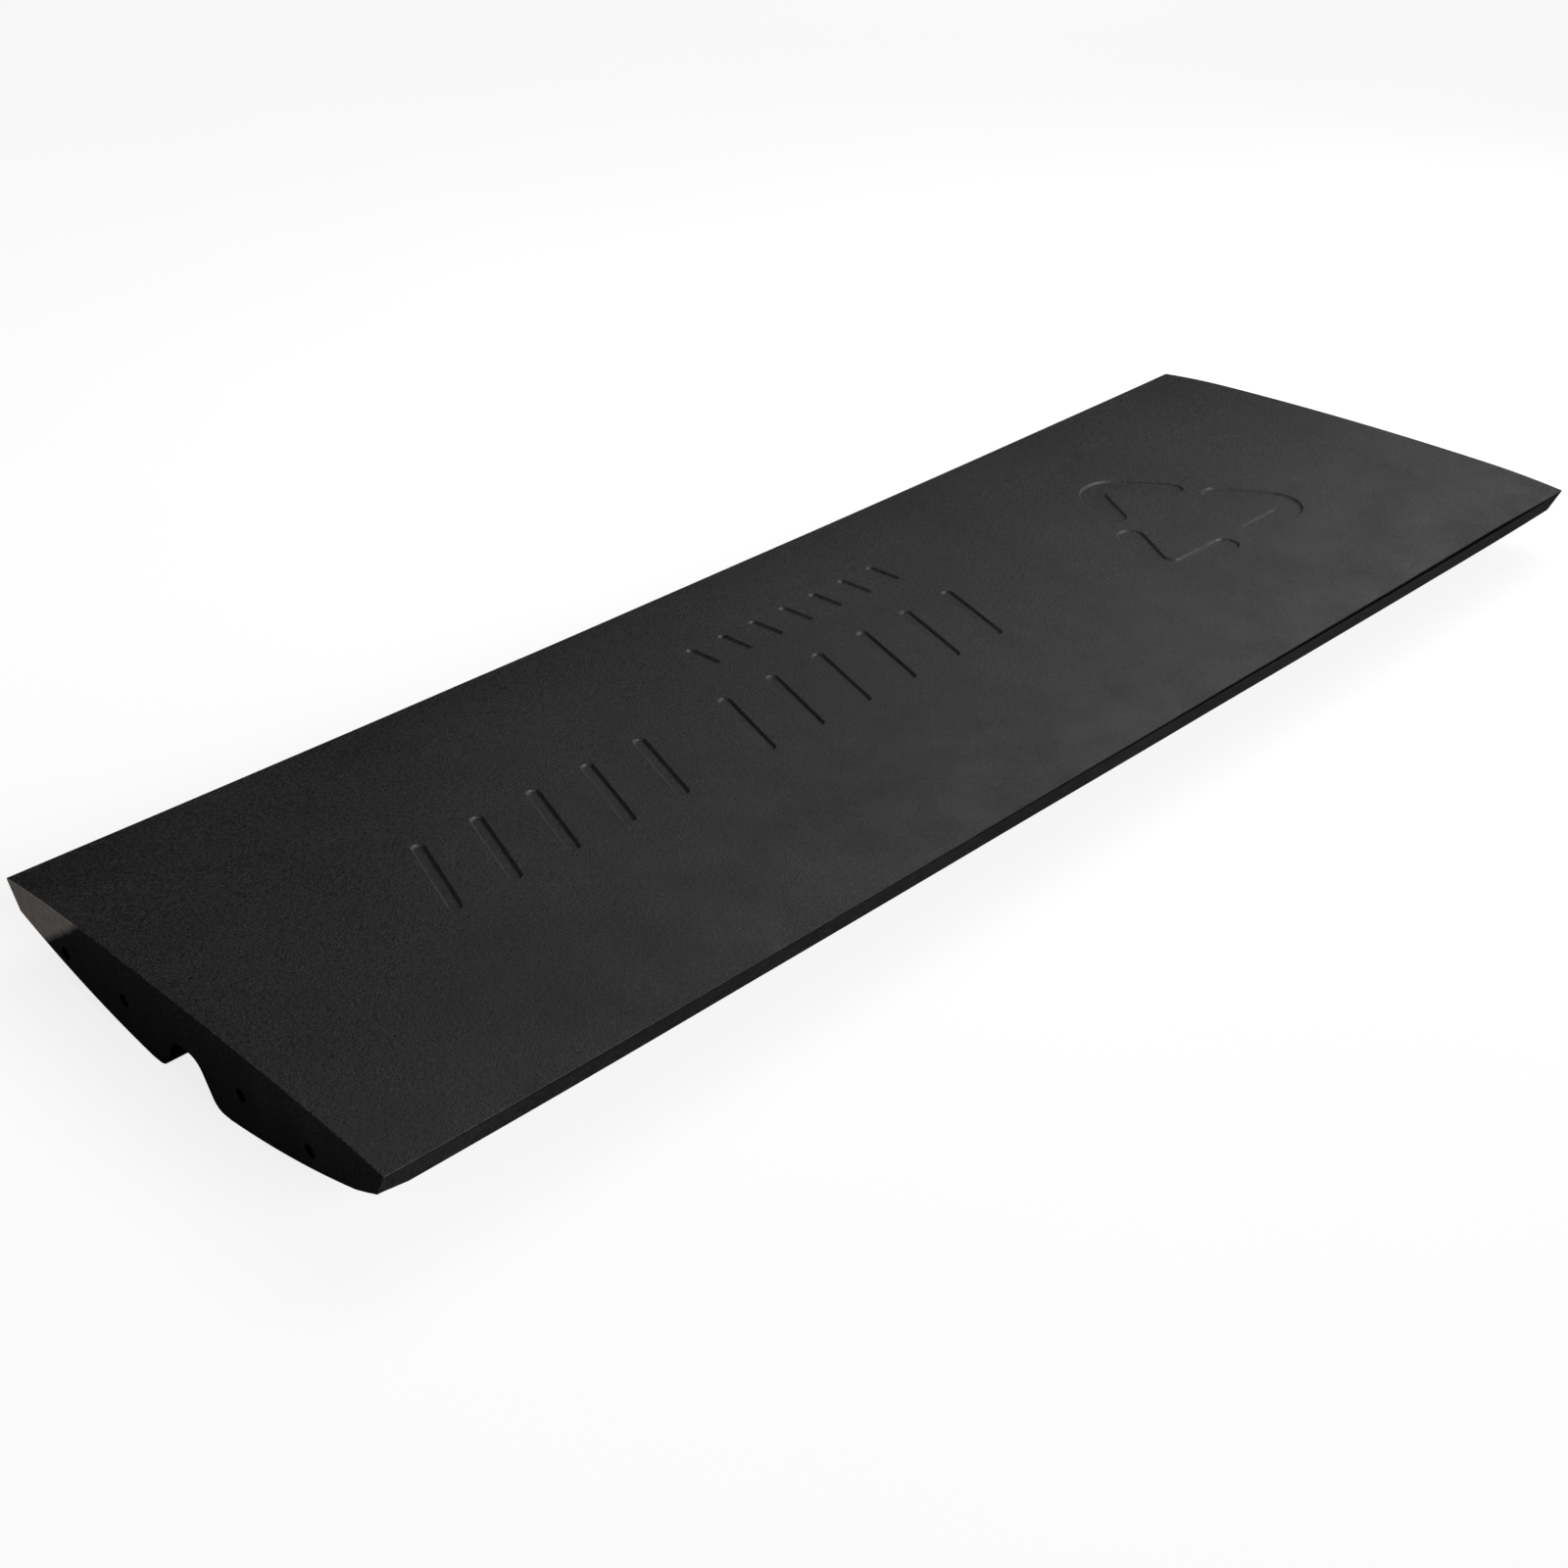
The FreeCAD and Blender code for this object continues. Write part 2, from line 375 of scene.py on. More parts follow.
def inside(sides, point):
    """Is a point inside an odd number of the loops with these sides?"""
    x, y = point
    crossings = 0
    for x1, y1, x2, y2 in sides:
        if (y1 > y) != (y2 > y) and x < x1 + (y - y1) * (x2 - x1) / (y2 - y1):
            crossings += 1
    return crossings % 2 == 1


class Skin:
    """Points and faces of one mesh, in millimetres. Points that coincide are merged at the end."""

    def __init__(self):
        self.points = []
        self.faces = []
        self.slots = []

    def add(self, points):
        """Adds points and returns their numbers."""
        first = len(self.points)
        self.points += [Vector(p) for p in points]
        return list(range(first, len(self.points)))

    def face(self, corners, slot=0):
        self.faces.append(tuple(corners))
        self.slots.append(slot)

    def strip(self, one, other, slot=0):
        """Quads between two closed rows of point numbers."""
        for i in range(len(one)):
            j = (i + 1) % len(one)
            self.face((one[i], one[j], other[j], other[i]), slot)

    def fill(self, numbers, flat, loops, slot=0):
        """Triangles inside an odd number of the loops. flat holds each point in the plane of the fill."""
        edges = []
        for loop in loops:
            edges += list(zip(loop, loop[1:] + loop[:1]))
        sides = [(*flat[i], *flat[j]) for i, j in edges]
        filled = delaunay_2d_cdt(flat, edges, [], FILL_WITHIN_LOOPS, FILL_TOLERANCE)
        _, _, triangles, sources, _, _ = filled
        for triangle in triangles:
            corners = [sources[i][0] for i in triangle]
            if inside(sides, sum((flat[i] for i in corners), Vector((0, 0))) / 3):
                self.face([numbers[i] for i in corners], slot)


def make_object(name, skin, materials, body):
    """A smooth-shaded object from a skin, in metres, that rides on a CAD body."""
    mesh = bpy.data.meshes.new(name)
    mesh.from_pydata([p * MM for p in skin.points], [], skin.faces)
    for material in materials:
        mesh.materials.append(material)
    for polygon, index in zip(mesh.polygons, skin.slots):
        polygon.material_index = index
        polygon.use_smooth = True
    cleaned = bmesh.new()
    cleaned.from_mesh(mesh)
    bmesh.ops.remove_doubles(cleaned, verts=cleaned.verts, dist=MERGE_DISTANCE)
    bmesh.ops.recalc_face_normals(cleaned, faces=cleaned.faces)
    cleaned.to_mesh(mesh)
    cleaned.free()
    piece = bpy.data.objects.new(name, mesh)
    bpy.context.scene.collection.objects.link(piece)
    weighted = piece.modifiers.new("face weighted normals", "WEIGHTED_NORMAL")
    weighted.weight = SHARP_FACE_WEIGHT
    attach(piece, body)
    return piece


# The slab -------------------------------------------------------------------------------------------------

# Slots of the slab's rubbers. The last one is a near-black colour of painted deep shade, for the lip
# grooves, the channel and the sockets.
GRAINED, RECESSED, WALL_SIDE, PLAIN, FACE, PAINTED_SHADE = range(6)


def as_points(x, loop):
    return [(x, p.x, p.y) for p in loop]


def side_slot(side):
    """The rubber of one side of the outline: the lips are grained like the top, the strips are plain, the
    grooves and the channel get a near-black colour of painted deep shade, and the rest of the underside is
    dull."""
    if side in GROOVE_SIDES or side in CHANNEL_SIDES:
        return PAINTED_SHADE
    if side in STRIP_SIDES:
        return PLAIN
    return GRAINED if side <= LIP_LAST or side == OUTLINE_POINTS - 1 else FACE


def add_sides(skin, stations):
    """Every long face but the top. Returns the rows of point numbers along the slab."""
    rows = [skin.add(as_points(x, outline(x, 0))) for x in stations]
    sides = [side for side in range(OUTLINE_POINTS) if not TOP_FIRST <= side < TOP_LAST]
    for one, other in zip(rows, rows[1:]):
        for side in sides:
            after = (side + 1) % OUTLINE_POINTS
            skin.face((one[side], one[after], other[after], other[side]), side_slot(side))
    return rows


def add_top(skin, stations, rows):
    """The crowned top, with a hole where each mark is."""
    count = len(rows)
    edge = [rows[0][i] for i in range(TOP_FIRST, TOP_LAST + 1)]
    edge += [rows[i][TOP_LAST] for i in range(1, count)]
    edge += [rows[-1][i] for i in range(TOP_LAST - 1, TOP_FIRST - 1, -1)]
    edge += [rows[i][TOP_FIRST] for i in range(count - 2, 0, -1)]
    numbers = list(edge)
    loops = [list(range(len(edge)))]
    for line, half_width in MARKS:
        ring = skin.add([(p.x, p.y, crown_height(p.y)) for p in band(line, half_width)])
        loops.append(list(range(len(numbers), len(numbers) + len(ring))))
        numbers += ring
    columns = [skin.points[i].y for i in rows[0][TOP_FIRST + 1 : TOP_LAST]]
    grid = [(x, y) for x in stations[1:-1] for y in columns]
    inner = [(x, y) for x, y in grid if not in_a_mark(Vector((x, y)), MARK_MARGIN)]
    numbers += skin.add([(x, y, crown_height(y)) for x, y in inner])
    flat = [skin.points[i].xy for i in numbers]
    skin.fill(numbers, flat, loops, GRAINED)


def wall_slot(step):
    """The rubber of one step of a recess's wall: like the top, then smoother, then like the floor."""
    if step < WALL_EDGE_STEPS:
        return GRAINED
    return WALL_SIDE if step < WALL_STEPS - WALL_EDGE_STEPS else RECESSED


def add_mark(skin, line, half_width):
    """The S-shaped wall and the floor of one recess."""
    rings = []
    for step in range(WALL_STEPS + 1):
        t = step / WALL_STEPS
        loop = band(line, half_width - MARK_WALL * t)
        depth = MARK_DEPTH * smoothstep(t)
        rings.append(skin.add([(p.x, p.y, crown_height(p.y) - depth) for p in loop]))
    for step, (one, other) in enumerate(zip(rings, rings[1:])):
        skin.strip(one, other, wall_slot(step))
    floor = rings[-1]
    spine = skin.add([(p.x, p.y, crown_height(p.y) - MARK_DEPTH) for p in line])
    numbers = floor + spine
    flat = [skin.points[i].xy for i in numbers]
    skin.fill(numbers, flat, [list(range(len(floor)))], RECESSED)


def circle(centre, radius):
    turns = [2 * math.pi * i / TURNED_STEPS for i in range(TURNED_STEPS)]
    return [centre + radius * Vector((math.cos(t), math.sin(t))) for t in turns]


def add_socket(skin, side, centre, radius):
    """The rounded mouth, wall and bottom of one socket. Returns the point numbers of its mouth."""
    face_x = side * HALF_LENGTH
    mouth = radius + SOCKET_ROUND
    rings = []
    for step in range(ROUND_STEPS + 1):
        turn = math.pi / 2 * step / ROUND_STEPS
        depth = SOCKET_ROUND * (1 - math.cos(turn))
        ring = circle(centre, mouth - SOCKET_ROUND * math.sin(turn))
        rings.append(skin.add(as_points(face_x - side * depth, ring)))
    rings.append(skin.add(as_points(face_x - side * SOCKET_DEPTH, circle(centre, radius))))
    for one, other in zip(rings, rings[1:]):
        # The socket's mouth, wall and bottom are coloured near-black with painted deep shade.
        skin.strip(one, other, PAINTED_SHADE)
    skin.face(rings[-1], PAINTED_SHADE)
    return rings[0]


def add_end(skin, row, side, sockets, socket_radius):
    """The rounded rim and flat face of one end, with its sockets."""
    for step in range(1, ROUND_STEPS + 1):
        turn = math.pi / 2 * step / ROUND_STEPS
        x = side * (HALF_LENGTH - END_ROUND * (1 - math.sin(turn)))
        loop = outline(x, END_ROUND * (1 - math.cos(turn)))
        next_row = skin.add(as_points(x, loop))
        skin.strip(row, next_row, FACE)
        row = next_row
    numbers = list(row)
    loops = [list(range(len(row)))]
    for centre in sockets:
        mouth = add_socket(skin, side, centre, socket_radius)
        loops.append(list(range(len(numbers), len(numbers) + len(mouth))))
        numbers += mouth
    flat = [skin.points[i].yz for i in numbers]
    skin.fill(numbers, flat, loops, FACE)


def worn_away(point):
    """How far wear lifts the lower front corner of the near end at a point."""
    if point.z >= EDGE_Z - STRIP_DROP / 2:
        return 0.0
    corner = Vector((-HALF_LENGTH, STRIP_INSET - HALF_WIDTH, EDGE_Z - STRIP_DROP))
    return WORN_CORNER * smoothstep(1 - (point - corner).length / WORN_REACH)


def settle(point):
    """Moves a point of the ideal slab inwards, to where the moulding's sag, wear and waviness put it."""
    across = (point.y + HALF_WIDTH) / (2 * HALF_WIDTH)
    along = abs(point.x) / HALF_LENGTH
    front_sag = SAG_FRONT * (1 - along**SAG_FRONT_POWER)
    back_sag = SAG_BACK * (1 - along**SAG_BACK_POWER)
    sag = front_sag + across * (back_sag - front_sag)
    wave = noise.noise(Vector((point.x, point.y, 0)) / WAVE_LENGTH) - 1
    raised = smoothstep(point.z / UNDERSIDE[0].y)
    drop = raised * (sag - WAVE_HEIGHT * wave * (1 - along**WAVE_POWER)) - worn_away(point)
    side_wave = noise.noise(Vector((point.x / WAVE_LENGTH, WAVE_SEED, point.y / HALF_WIDTH))) - 1
    sideways = WAVE_HEIGHT * raised * side_wave
    return Vector((point.x, point.y * (1 + sideways / HALF_WIDTH), point.z - drop))


def make_slab(materials):
    skin = Skin()
    reach = HALF_LENGTH - END_ROUND
    count = round(2 * reach / STATION_PITCH)
    stations = [-reach + 2 * reach * i / count for i in range(count + 1)]
    fade = [reach - GROOVE_FADE * step / FADE_STEPS for step in range(1, FADE_STEPS + 1)]
    stations += [side * x for side in (-1, 1) for x in fade]
    stations.sort()
    rows = add_sides(skin, stations)
    add_top(skin, stations, rows)
    for line, half_width in MARKS:
        add_mark(skin, line, half_width)
    for side, row, end in ((-1, rows[0], "near"), (1, rows[-1], "far")):
        boxes = [node_box(f"{end}_sleeve_{place}") for place in PLACES]
        centres = [((low + high) / 2).yz for low, high in boxes]
        add_end(skin, row, side, centres, boxes[0][1].z - centres[0].y)
    skin.points = [settle(p) for p in skin.points]
    slab = make_object("ramp_slab", skin, materials, "slab")
    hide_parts("ramp_body")
    return slab


# Turned pieces --------------------------------------------------------------------------------------------


def turned(name, node, profile, material, body):
    """A piece turned about a line along +X through a CAD node. profile holds (x, radius) from end to end."""
    low, high = node_box(node)
    centre = ((low + high) / 2).yz
    skin = Skin()
    rings = []
    for along, radius in profile:
        if radius:
            rings.append(skin.add(as_points(low.x + along, circle(centre, radius))))
        else:
            rings.append(skin.add([(low.x + along, *centre)]) * TURNED_STEPS)
    for one, other in zip(rings, rings[1:]):
        if one[0] == one[1] or other[0] == other[1]:
            hub, rim = (one, other) if one[0] == one[1] else (other, one)
            for i in range(TURNED_STEPS):
                skin.face((hub[0], rim[i], rim[(i + 1) % TURNED_STEPS]))
        else:
            skin.strip(one, other)
    piece = make_object(name, skin, [material], body)
    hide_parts(node)
    return piece


def pin_profile(length, radius):
    """Half of a dowel with centre-drilled ends and rounded chamfers, mirrored at its middle."""
    chamfer = [(x, radius - drop) for x, drop in PIN_CHAMFER]
    half = [*PIN_END, *chamfer, (PIN_COLLAR, radius)]
    return half + [(length - x, r) for x, r in reversed(half)]


def sleeve_profile(length, outer, inner):
    """A tube with rounded mouths, as a closed loop of (x, radius)."""
    edge = (outer - inner) / 3
    middle = edge * 0.3
    mouth = [(edge, outer), (middle, outer - middle), (0.0, outer - edge)]
    mouth += [(0.0, inner + edge), (middle, inner + middle), (edge, inner)]
    far_mouth = [(length - x, r) for x, r in reversed(mouth)]
    return mouth + far_mouth + mouth[:1]


def make_pins(material):
    for place in PLACES:
        node = f"link_pin_{place}"
        low, high = node_box(node)
        profile = pin_profile(high.x - low.x, (high.z - low.z) / 2)
        turned(f"dowel_{place}", node, profile, material, f"pin_{place}")


def make_sleeves(material):
    mount = frame["record"]["mounts"][0]
    inner = mount["dims"]["r_mm"]
    for end in ("near", "far"):
        for place in PLACES:
            node = f"{end}_sleeve_{place}"
            low, high = node_box(node)
            profile = sleeve_profile(high.x - low.x, (high.z - low.z) / 2, inner)
            turned(f"{end}_tube_{place}", node, profile, material, "slab")


# Materials. Scales are per metre, and a noise is given as scale, detail and roughness ---------------------


RUBBER_DARK = (0.003, 0.003, 0.0031)
RUBBER_LIGHT = (0.024, 0.024, 0.0244)
FACE_DARK = (0.002, 0.002, 0.002)
FACE_LIGHT = (0.05, 0.05, 0.05)
# Colour of the painted shade at the foot of the end faces
FACE_PAINTED_SHADE = (0.001, 0.001, 0.001)
# Near-black colour of painted deep shade, for the lip grooves, the channel and the sockets
DEEP_SHADE_DARK = (0.0010, 0.0010, 0.0010)
DEEP_SHADE_LIGHT = (0.0020, 0.0020, 0.0020)
# Tan colour of a painted reflection: the light caught on the near end's back tip
REFLECTION_DARK = (0.31, 0.275, 0.250)
REFLECTION_LIGHT = (0.38, 0.345, 0.315)
SLEEVE_DARK = (0.003, 0.003, 0.003)
SLEEVE_LIGHT = (0.006, 0.006, 0.006)
STEEL_DARK = (0.02, 0.02, 0.021)
STEEL_LIGHT = (0.06, 0.057, 0.054)
TURNING_STRETCH = (1.0, 0.02, 0.02)

# Noises of the rubber, from the widest to the finest
CLOUDS = (7.0, 4.0, 0.6)
SMEARS = (25.0, 5.0, 0.6)
LUMPS = (350.0, 2.0)
SPECKS = (420.0, 3.0, 0.9)
PEBBLES = (520.0, 3.0, 0.85)
CELLS = 800.0
CELL_SMOOTHNESS = 0.6
CELL_SHARE = 0.2
CLOUD_SHARE = 0.2
SMEAR_SHARE = 0.25
LUMP_SHARE = 0.4
SHINE_SPREAD = 0.2

# The part of a noise's values that a colour or a roughness spreads over
TONE_SPAN = (0.42, 0.66)
SHINE_SPAN = (0.4, 0.6)
REFLECTION_SPAN = (0.35, 0.65)
STEEL_SPAN = (0.4, 0.7)
FINE_SPAN = (0.3, 0.7)

# The end faces: the heights between which painted shade darkens them towards the ground, how the edge of the
# painted tan reflection patch leans, the heights between which the patch fades in along that lean, and how
# near the end's plane it starts. The raggedness is how far noise moves each edge, in metres.
LOW_SHADE = (0.02, 0.085)
LOW_SHADE_RAGGED = 0.05
PATCH_LEAN = (0.0, 0.686, 1.0)
PATCH_EDGE = (0.1405, 0.1475)
PATCH_RAGGED = 0.006
PATCH_PLANE = (0.5995, 0.5999)
UP = (0.0, 0.0, 1.0)
NEAR = (-1.0, 0.0, 0.0)


class Nodes:
    """A material's node tree, with short ways to add and link nodes."""

    def __init__(self, name):
        self.material = bpy.data.materials.new(name)
        self.material.use_nodes = True
        self.tree = self.material.node_tree
        self.shader = self.tree.nodes["Principled BSDF"]
        self.place = self.tree.nodes.new("ShaderNodeTexCoord").outputs["Object"]

    def link(self, output, target):
        self.tree.links.new(output, target)

    def noise(self, scale, detail=3.0, roughness=0.5):
        node = self.tree.nodes.new("ShaderNodeTexNoise")
        node.inputs["Scale"].default_value = scale
        node.inputs["Detail"].default_value = detail
        node.inputs["Roughness"].default_value = roughness
        self.link(self.place, node.inputs["Vector"])
        return node.outputs["Fac"]

    def cells(self, scale):
        node = self.tree.nodes.new("ShaderNodeTexVoronoi")
        node.feature = "SMOOTH_F1"
        node.inputs["Scale"].default_value = scale
        node.inputs["Smoothness"].default_value = CELL_SMOOTHNESS
        self.link(self.place, node.inputs["Vector"])
        return node.outputs["Distance"]

    def math(self, operation, one, other):
        node = self.tree.nodes.new("ShaderNodeMath")
        node.operation = operation
        for socket, value in zip(node.inputs, (one, other)):
            if isinstance(value, (int, float)):
                socket.default_value = value
            else:
                self.link(value, socket)
        return node.outputs[0]

    def shares(self, one, share_one, other, share_other):
        """The sum of two values, each times its share."""
        one = self.math("MULTIPLY", one, share_one)
        return self.math("ADD", one, self.math("MULTIPLY", other, share_other))

    def along(self, way):
        """How far a point lies along a direction, in metres."""
        node = self.tree.nodes.new("ShaderNodeVectorMath")
        node.operation = "DOT_PRODUCT"
        self.link(self.place, node.inputs[0])
        node.inputs[1].default_value = way
        return node.outputs["Value"]

    def span(self, value, from_low, from_high, low, high):
        node = self.tree.nodes.new("ShaderNodeMapRange")
        names = ("From Min", "From Max", "To Min", "To Max")
        for name, number in zip(names, (from_low, from_high, low, high)):
            node.inputs[name].default_value = number
        self.link(value, node.inputs["Value"])
        return node.outputs["Result"]

    def mix(self, factor, one, other):
        node = self.tree.nodes.new("ShaderNodeMix")
        node.data_type = "RGBA"
        self.link(factor, node.inputs["Factor"])
        for socket, value in ((node.inputs["A"], one), (node.inputs["B"], other)):
            if isinstance(value, tuple):
                socket.default_value = (*value, 1)
            else:
                self.link(value, socket)
        return node.outputs["Result"]

    def bump(self, height, distance, before=None):
        node = self.tree.nodes.new("ShaderNodeBump")
        node.inputs["Distance"].default_value = distance
        self.link(height, node.inputs["Height"])
        if before:
            self.link(before, node.inputs["Normal"])
        return node.outputs["Normal"]


def rubber(name, grain, roughness, specular, dark=RUBBER_DARK, light=RUBBER_LIGHT, painted_light=False):
    """Black moulded rubber. grain is the height of its pebbling in millimetres. With the last flag set, the
    colour gets the end faces' painted shade and painted tan reflection.
    """
    nodes = Nodes(name)
    shader = nodes.shader
    shader.inputs["Specular IOR Level"].default_value = specular
    specks = nodes.noise(*SPECKS)

    tone = nodes.shares(nodes.noise(*CLOUDS), CLOUD_SHARE, specks, 1 - CLOUD_SHARE)
    colour = nodes.mix(nodes.span(tone, *TONE_SPAN, 0, 1), dark, light)
    nodes.link(painted_shade_and_reflection(nodes, colour) if painted_light else colour, shader.inputs["Base Color"])

    shine = nodes.shares(nodes.noise(*SMEARS), SMEAR_SHARE, specks, 1 - SMEAR_SHARE)
    varied = nodes.span(shine, *SHINE_SPAN, roughness - SHINE_SPREAD, roughness + SHINE_SPREAD)
    nodes.link(varied, shader.inputs["Roughness"])

    cells = nodes.math("MULTIPLY", nodes.cells(CELLS), CELL_SHARE)
    pebbles = nodes.math("SUBTRACT", nodes.noise(*PEBBLES), cells)
    fine = nodes.bump(pebbles, grain * MM)
    coarse = nodes.bump(nodes.noise(*LUMPS), LUMP_SHARE * grain * MM, fine)
    nodes.link(coarse, shader.inputs["Normal"])
    return nodes.material


def painted_shade_and_reflection(nodes, colour):
    """Painted shade darkens an end face towards the ground, and the near one has a painted tan reflection at
    its back tip.
    """
    # painted shade: the colour darkens towards the foot of the face
    patchy = nodes.math("MULTIPLY", nodes.noise(40.0, 4.0), LOW_SHADE_RAGGED)
    height = nodes.math("ADD", nodes.along(UP), patchy)
    colour = nodes.mix(nodes.span(height, *LOW_SHADE, 0, 1), FACE_PAINTED_SHADE, colour)
    # painted reflection: a tan patch at the back tip of the near end
    ragged = nodes.math("MULTIPLY", nodes.noise(90.0, 3.0), PATCH_RAGGED)
    tip = nodes.span(nodes.math("ADD", nodes.along(PATCH_LEAN), ragged), *PATCH_EDGE, 0, 1)
    near = nodes.span(nodes.along(NEAR), *PATCH_PLANE, 0, 1)
    reflection = nodes.mix(nodes.span(nodes.noise(160.0, 4.0), *REFLECTION_SPAN, 0, 1), REFLECTION_DARK, REFLECTION_LIGHT)
    return nodes.mix(nodes.math("MULTIPLY", tip, near), colour, reflection)


def sleeve_plastic():
    """Black nylon with a faint grain."""
    nodes = Nodes("sleeve_nylon")
    shader = nodes.shader
    shader.inputs["Specular IOR Level"].default_value = 0.1
    nodes.link(nodes.mix(nodes.noise(300.0), SLEEVE_DARK, SLEEVE_LIGHT), shader.inputs["Base Color"])
    nodes.link(nodes.span(nodes.noise(800.0), *FINE_SPAN, 0.5, 0.65), shader.inputs["Roughness"])
    nodes.link(nodes.bump(nodes.noise(2500.0), 0.02 * MM), shader.inputs["Normal"])
    return nodes.material


def pin_steel():
    """Dark oiled steel with fine turning marks round the pin."""
    nodes = Nodes("pin_dark_steel")
    shader = nodes.shader
    shader.inputs["Metallic"].default_value = 1.0
    stretch = nodes.tree.nodes.new("ShaderNodeMapping")
    stretch.inputs["Scale"].default_value = TURNING_STRETCH
    nodes.link(nodes.place, stretch.inputs["Vector"])
    worn = nodes.span(nodes.noise(160.0, 5.0), *STEEL_SPAN, 0, 1)
    nodes.link(nodes.mix(worn, STEEL_DARK, STEEL_LIGHT), shader.inputs["Base Color"])
    nodes.link(nodes.span(nodes.noise(400.0, 4.0), *FINE_SPAN, 0.28, 0.45), shader.inputs["Roughness"])
    nodes.place = stretch.outputs["Vector"]
    nodes.link(nodes.bump(nodes.noise(3500.0, 2.0), 0.015 * MM), shader.inputs["Normal"])
    return nodes.material


# Studio ---------------------------------------------------------------------------------------------------

CAMERA_PLACE = Vector((-1.0524, -1.0071, 0.8225))
CAMERA_WAY = Vector((0.5857, 0.6264, -0.51436))
CAMERA_RIGHT = Vector((0.71779, -0.69562, -0.0298))
CAMERA_LENS_MM = 51.04
SENSOR_MM = 36.0
FILL_STRENGTH = 0.047
WALL_STRENGTH = 1.0
SOFTBOX_SIZE = 0.8
FLOOR_REACH = 12.0
FLOOR_DARK = (0.20, 0.20, 0.20)
FLOOR_LIGHT = (0.22, 0.22, 0.22)
FLOOR_GLOW = 0.82

# Suns: azimuth, elevation, strength and angular size, in degrees. Softboxes: place and watts.
SUNS = {
    "front_low": (-80, 20, 3.6, 40),
    "end_low": (-170, 25, 0.38, 40),
}
SOFTBOXES = {
    "right": (Vector((1.0, 0.0, 1.0)), 5.6),
    "middle": (Vector((0.5, 0.5, 1.2)), 5.5),
    "far": (Vector((1.6, 0.2, 0.6)), 1.4),
    "horizon": (Vector((2.2, 1.8, 0.35)), 0.4),
}


def add_camera():
    data = bpy.data.cameras.new("camera")
    data.lens = CAMERA_LENS_MM
    data.sensor_width = SENSOR_MM
    camera = bpy.data.objects.new("camera", data)
    back = -CAMERA_WAY.normalized()
    up = back.cross(CAMERA_RIGHT).normalized()
    right = up.cross(back)
    turned_to = Matrix((right, up, back)).transposed().to_4x4()
    camera.matrix_world = Matrix.Translation(CAMERA_PLACE) @ turned_to
    bpy.context.scene.collection.objects.link(camera)
    bpy.context.scene.camera = camera


def add_sun(name, azimuth_deg, elevation_deg, strength, angle_deg):
    """A soft sun. Azimuth is where it stands, counted from +X towards +Y."""
    data = bpy.data.lights.new(name, "SUN")
    data.energy = strength
    data.angle = math.radians(angle_deg)
    light = bpy.data.objects.new(name, data)
    azimuth, elevation = math.radians(azimuth_deg), math.radians(elevation_deg)
    flat = math.cos(elevation)
    towards = Vector((flat * math.cos(azimuth), flat * math.sin(azimuth), math.sin(elevation)))
    light.rotation_euler = towards.to_track_quat("Z", "Y").to_euler()
    bpy.context.scene.collection.objects.link(light)


def add_softbox(name, place, watts):
    """A square soft light that faces the middle of the slab."""
    data = bpy.data.lights.new(name, "AREA")
    data.energy = watts
    data.size = SOFTBOX_SIZE
    light = bpy.data.objects.new(name, data)
    light.location = place
    light.rotation_euler = place.to_track_quat("Z", "Y").to_euler()
    bpy.context.scene.collection.objects.link(light)


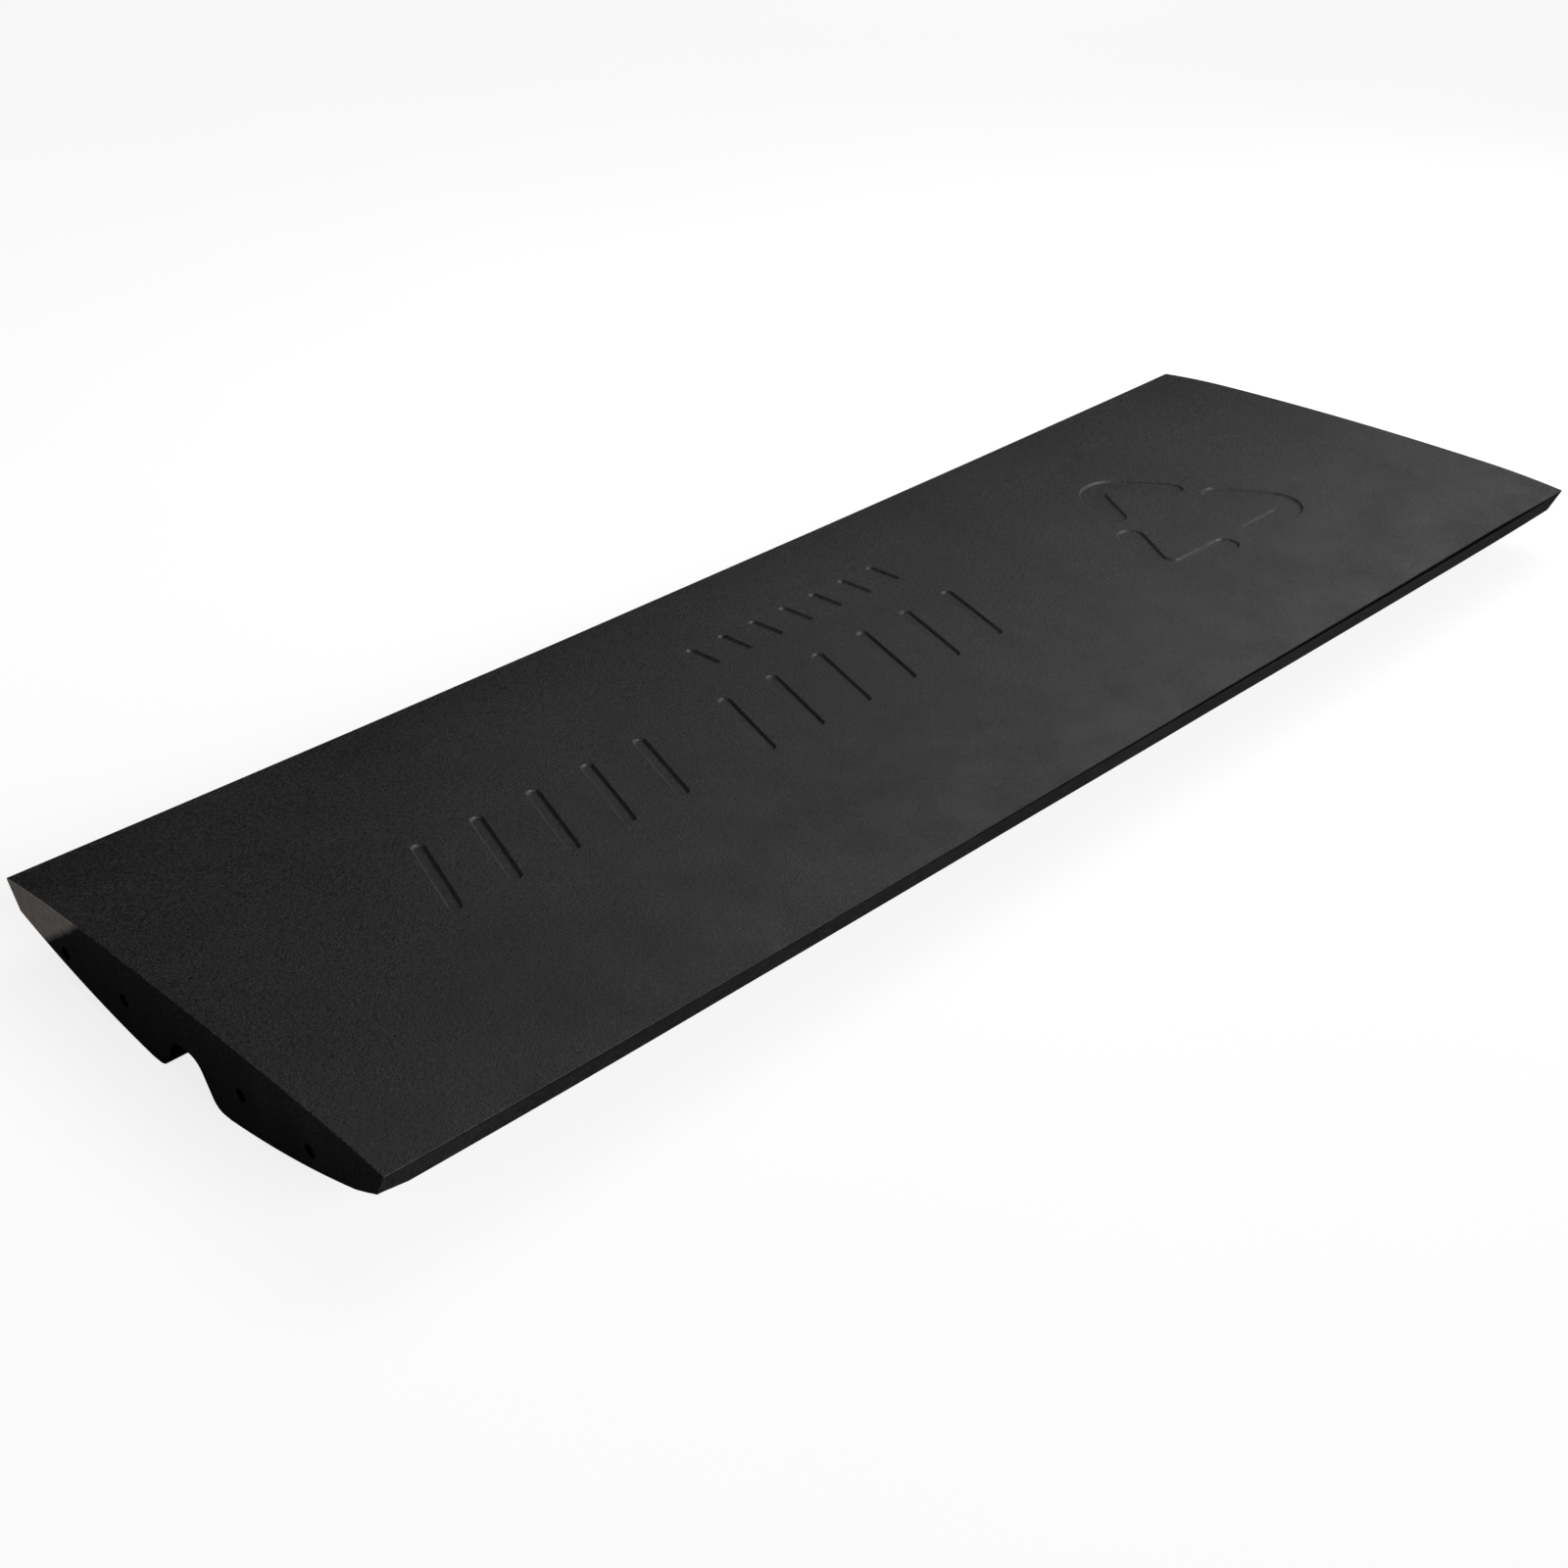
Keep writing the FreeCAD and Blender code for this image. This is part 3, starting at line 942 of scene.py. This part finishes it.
def add_world():
    """A weak white light from all round, and a white wall that only the camera sees."""
    world = bpy.data.worlds.new("studio")
    world.use_nodes = True
    tree = world.node_tree
    fill = tree.nodes["Background"]
    fill.inputs["Color"].default_value = (1, 1, 1, 1)
    fill.inputs["Strength"].default_value = FILL_STRENGTH
    wall = tree.nodes.new("ShaderNodeBackground")
    wall.inputs["Strength"].default_value = WALL_STRENGTH
    mixed = tree.nodes.new("ShaderNodeMixShader")
    seen = tree.nodes.new("ShaderNodeLightPath").outputs["Is Camera Ray"]
    for output, target in ((seen, 0), (fill.outputs[0], 1), (wall.outputs[0], 2)):
        tree.links.new(output, mixed.inputs[target])
    tree.links.new(mixed.outputs[0], tree.nodes["World Output"].inputs["Surface"])
    bpy.context.scene.world = world


def add_floor():
    """A wide pale floor at the height of the slab's feet."""
    skin = bmesh.new()
    bmesh.ops.create_grid(skin, x_segments=8, y_segments=8, size=FLOOR_REACH)
    mesh = bpy.data.meshes.new("floor")
    skin.to_mesh(mesh)
    skin.free()
    nodes = Nodes("floor_paint")
    shader = nodes.shader
    nodes.link(nodes.mix(nodes.noise(3.0), FLOOR_DARK, FLOOR_LIGHT), shader.inputs["Base Color"])
    shader.inputs["Roughness"].default_value = 0.9
    shader.inputs["Emission Color"].default_value = (1, 1, 1, 1)
    shader.inputs["Emission Strength"].default_value = FLOOR_GLOW
    mesh.materials.append(nodes.material)
    floor = bpy.data.objects.new("floor", mesh)
    floor.location.z = cad_box[0][2]
    floor.visible_diffuse = False
    floor.visible_glossy = False
    bpy.context.scene.collection.objects.link(floor)


def add_studio():
    add_camera()
    add_world()
    add_floor()
    for name, numbers in SUNS.items():
        add_sun(name, *numbers)
    for name, (place, watts) in SOFTBOXES.items():
        add_softbox(name, place, watts)
    bpy.context.scene.view_settings.view_transform = "Standard"


add_studio()
rubbers = [
    rubber("rubber_grained", grain=0.55, roughness=0.5, specular=0.3),
    rubber("rubber_recess", grain=0.4, roughness=0.5, specular=0.3),
    rubber("rubber_wall", grain=0.1, roughness=0.5, specular=0.8),
    rubber("rubber_plain", grain=0.08, roughness=0.6, specular=0.25),
    # the end faces carry painted shade towards the ground and a painted tan reflection at the near back tip
    rubber("rubber_end", 0.12, 0.75, 0.15, FACE_DARK, FACE_LIGHT, painted_light=True),
    # painted deep shade: near-black, with almost no specular
    rubber("rubber_painted_shade", 0.05, 0.9, 0.02, DEEP_SHADE_DARK, DEEP_SHADE_LIGHT),
]  # in the order of the numbers GRAINED to PAINTED_SHADE
make_slab(rubbers)
make_sleeves(sleeve_plastic())
make_pins(pin_steel())
